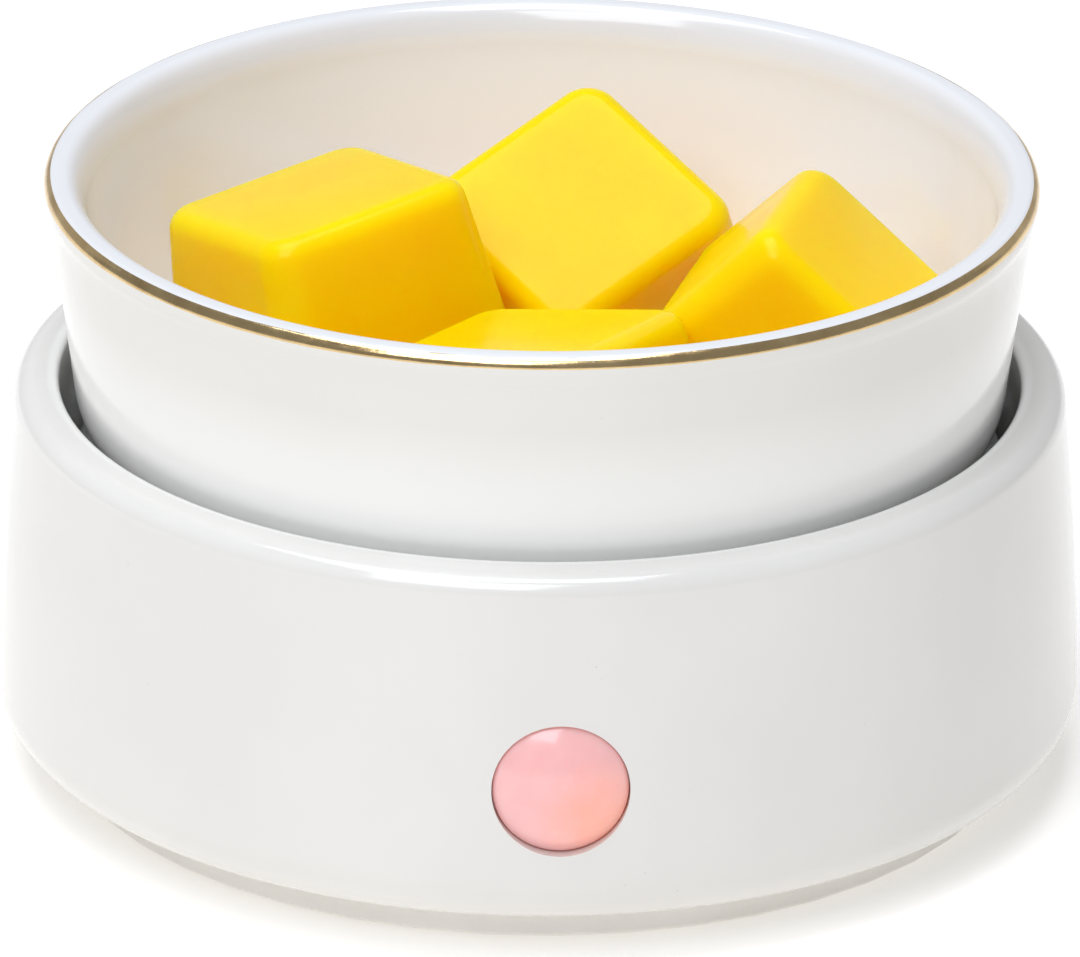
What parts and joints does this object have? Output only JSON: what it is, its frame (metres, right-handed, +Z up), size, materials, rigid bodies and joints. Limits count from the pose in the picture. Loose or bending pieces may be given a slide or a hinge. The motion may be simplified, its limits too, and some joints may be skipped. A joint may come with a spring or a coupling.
{
  "type": "wax warmer pot",
  "caption": "Round ceramic wax-melt warmer: lift-out glazed dish with a gold lip line, wax cubes in the dish, heated base with a round indicator lens in front.",
  "frame": {"origin": "centre of the base on the surface the feet stand on", "axes": "+Z up, indicator lens faces -Y (front), cord gland faces +Y (back), +X to the viewer's right"},
  "size_m": [0.1252, 0.1278, 0.0715],
  "materials": {
    "glazed_base": "gloss",
    "glazed_dish": "gloss",
    "cover_plastic": "satin",
    "foot_rubber": "matte",
    "gasket_silicone": "satin",
    "plate_aluminium": "satin",
    "reflector_aluminium": "gloss",
    "zinc_steel": "satin",
    "mica_sheet": "satin",
    "heater_foil": "satin",
    "white_nylon": "satin",
    "lens_pink": "gloss",
    "lamp_glass": "polished",
    "resistor_body": "satin",
    "fuse_body": "satin",
    "lead_brown": "satin",
    "lead_blue": "satin",
    "lead_white": "satin",
    "yellow_wax": "satin"
  },
  "bodies": {
    "base": {"ceramic_base": "glazed_base", "hot_plate": "plate_aluminium", "plate_gasket": "gasket_silicone", "mica_sheet_upper": "mica_sheet", "mica_sheet_lower": "mica_sheet", "heater_element": "heater_foil", "clamp_plate": "zinc_steel", "clamp_washer": "zinc_steel", "clamp_nut": "zinc_steel", "lock_nut": "zinc_steel", "heat_reflector": "reflector_aluminium", "thermal_fuse": "fuse_body", "fuse_clip": "zinc_steel", "fuse_screw": "zinc_steel", "standoff_1": "zinc_steel", "standoff_2": "zinc_steel", "standoff_3": "zinc_steel", "bottom_cover": "cover_plastic", "cover_screw_1": "zinc_steel", "cover_screw_2": "zinc_steel", "cover_screw_3": "zinc_steel", "foot_1": "foot_rubber", "foot_2": "foot_rubber", "foot_3": "foot_rubber", "foot_4": "foot_rubber", "indicator_lens": "lens_pink", "lens_retainer": "white_nylon", "lamp_holder": "white_nylon", "neon_lamp": "lamp_glass", "lamp_resistor": "resistor_body", "cord_gland": "white_nylon", "gland_nut": "white_nylon", "cord_clamp": "white_nylon", "cord_clamp_screw_1": "zinc_steel", "cord_clamp_screw_2": "zinc_steel", "terminal_block": "white_nylon", "terminal_block_screw": "zinc_steel", "lead_neutral": "lead_blue", "lead_live": "lead_brown", "lead_fuse": "lead_brown", "lamp_lead_live": "lead_white", "lamp_lead_resistor": "lead_white", "lamp_lead_neutral": "lead_white"},
    "dish": {"dish": "glazed_dish", "wax_cube_5": "yellow_wax"},
    "wax_cube_1": {"wax_cube_1": "yellow_wax"},
    "wax_cube_2": {"wax_cube_2": "yellow_wax"},
    "wax_cube_3": {"wax_cube_3": "yellow_wax"},
    "wax_cube_4": {"wax_cube_4": "yellow_wax"}
  },
  "joints": [
    {"name": "dish_lift", "type": "slide", "parent": "base", "child": "dish", "axis": [0, 0, 1], "range_m": [0, 0.05]},
    {"name": "wax_cube_1_lift", "type": "slide", "parent": "dish", "child": "wax_cube_1", "axis": [-0.2241, -0.1294, 0.9659], "range_m": [0, 0.045]},
    {"name": "wax_cube_2_lift", "type": "slide", "parent": "dish", "child": "wax_cube_2", "axis": [0, 0, 1], "range_m": [0, 0.045]},
    {"name": "wax_cube_3_lift", "type": "slide", "parent": "dish", "child": "wax_cube_3", "axis": [0, 0, 1], "range_m": [0, 0.045]},
    {"name": "wax_cube_4_lift", "type": "slide", "parent": "dish", "child": "wax_cube_4", "axis": [0, 0, 1], "range_m": [0, 0.045]}
  ]
}
